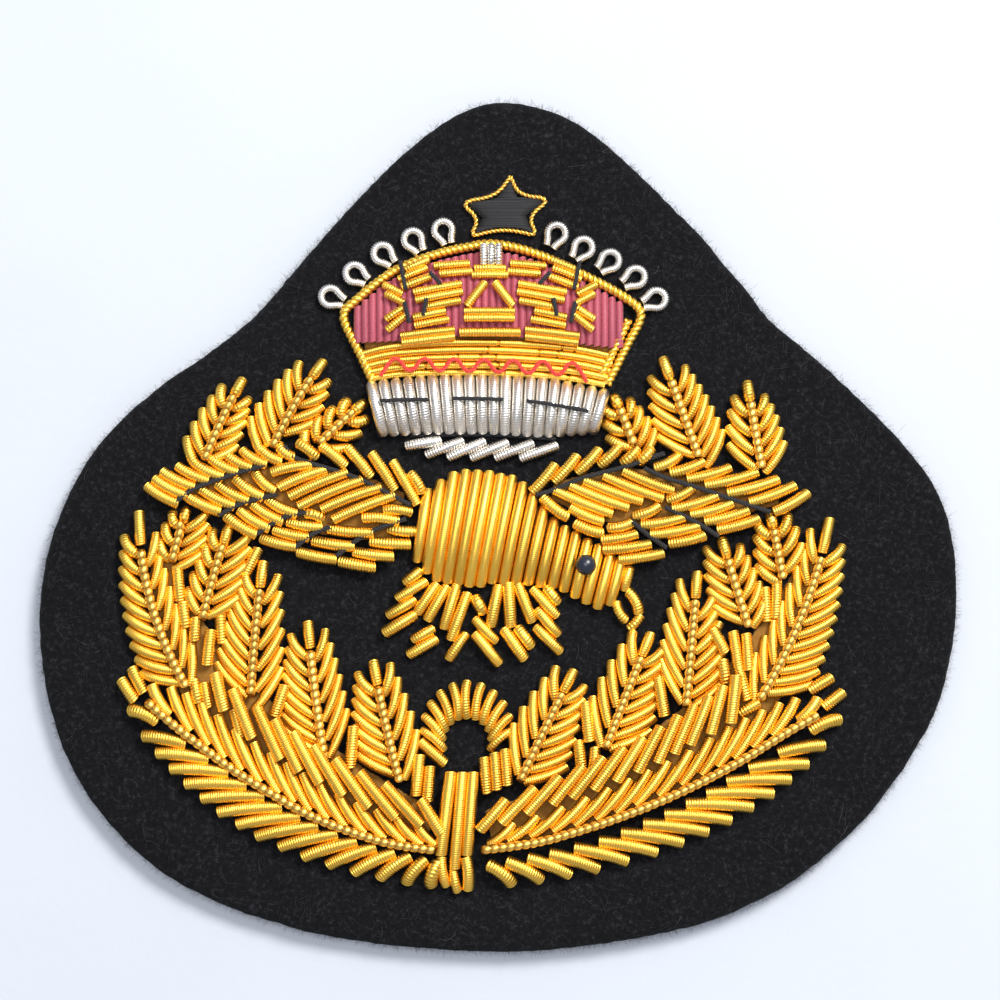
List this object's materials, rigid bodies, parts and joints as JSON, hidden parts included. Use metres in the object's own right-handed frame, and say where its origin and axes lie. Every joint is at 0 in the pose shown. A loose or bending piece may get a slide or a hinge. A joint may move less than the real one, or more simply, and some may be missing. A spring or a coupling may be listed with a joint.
{
  "type": "embroidered cap badge",
  "caption": "Oval cloth cap badge embroidered in gold wire coils: a crowned bird inside a leafy wreath, with a small star above, on black wool.",
  "frame": {"origin": "middle of the badge's outline on its flat back", "axes": "+Z out of the embroidered face, +Y towards the badge's top (the star), +X to the right as seen from the front"},
  "size_m": [0.08, 0.0742, 0.0052],
  "materials": {
    "lining_cloth": "plain matt cotton lining",
    "stiffener": "stiff buckram",
    "wool_cloth": "felted black wool badge cloth",
    "padding_felt": "dyed padding felt",
    "gold_purl": "gilt wire coil, satin",
    "gold_cord": "pale gilt twisted cord",
    "silver_purl": "silver-plated wire coil, satin",
    "wine_silk": "ribbed silk over cord",
    "red_floss": "loosely twisted silk floss",
    "star_satin": "satin-stitched silk",
    "black_thread": "matt silk thread",
    "eye_bead": "small dark bead"
  },
  "bodies": {
    "root": {"back_lining": "lining_cloth", "stiffener": "stiffener", "face_cloth": "wool_cloth", "wreath_pad_left": "padding_felt", "wreath_pad_right": "padding_felt", "body_pad": "padding_felt", "wing_pad_left": "padding_felt", "wing_pad_right": "padding_felt", "crown_pad": "padding_felt", "headband_pad": "padding_felt", "leaf_left_1": "gold_purl", "leaf_left_2": "gold_purl", "leaf_left_3": "gold_purl", "leaf_left_4": "gold_purl", "leaf_left_5": "gold_purl", "leaf_left_6": "gold_purl", "leaf_left_7": "gold_purl", "leaf_left_8": "gold_purl", "leaf_left_9": "gold_purl", "leaf_right_1": "gold_purl", "leaf_right_2": "gold_purl", "leaf_right_3": "gold_purl", "leaf_right_4": "gold_purl", "leaf_right_5": "gold_purl", "leaf_right_6": "gold_purl", "leaf_right_7": "gold_purl", "leaf_right_8": "gold_purl", "leaf_right_9": "gold_purl", "leaf_veins_left": "gold_cord", "leaf_veins_right": "gold_cord", "stem_outer_left": "gold_purl", "stem_outer_right": "gold_purl", "stem_inner_left": "gold_purl", "stem_inner_right": "gold_purl", "stem_check_left": "gold_purl", "stem_check_right": "gold_purl", "stem_cord_left": "gold_cord", "stem_cord_right": "gold_cord", "wreath_ring": "gold_purl", "wreath_tie": "gold_purl", "eagle_body": "gold_purl", "eagle_eye": "eye_bead", "eagle_beak": "gold_purl", "eagle_tail": "gold_purl", "wing_left": "gold_purl", "wing_right": "gold_purl", "wing_threads": "black_thread", "crown_silk": "wine_silk", "crown_rim": "gold_purl", "crown_arches": "gold_purl", "crown_threads": "black_thread", "crown_pearl": "silver_purl", "gold_band": "gold_purl", "red_zigzag": "red_floss", "silver_band": "silver_purl", "band_threads": "black_thread", "base_twist": "silver_purl", "pearl_loops": "silver_purl", "star_outline": "gold_cord", "star_fill": "star_satin"}
  },
  "joints": []
}
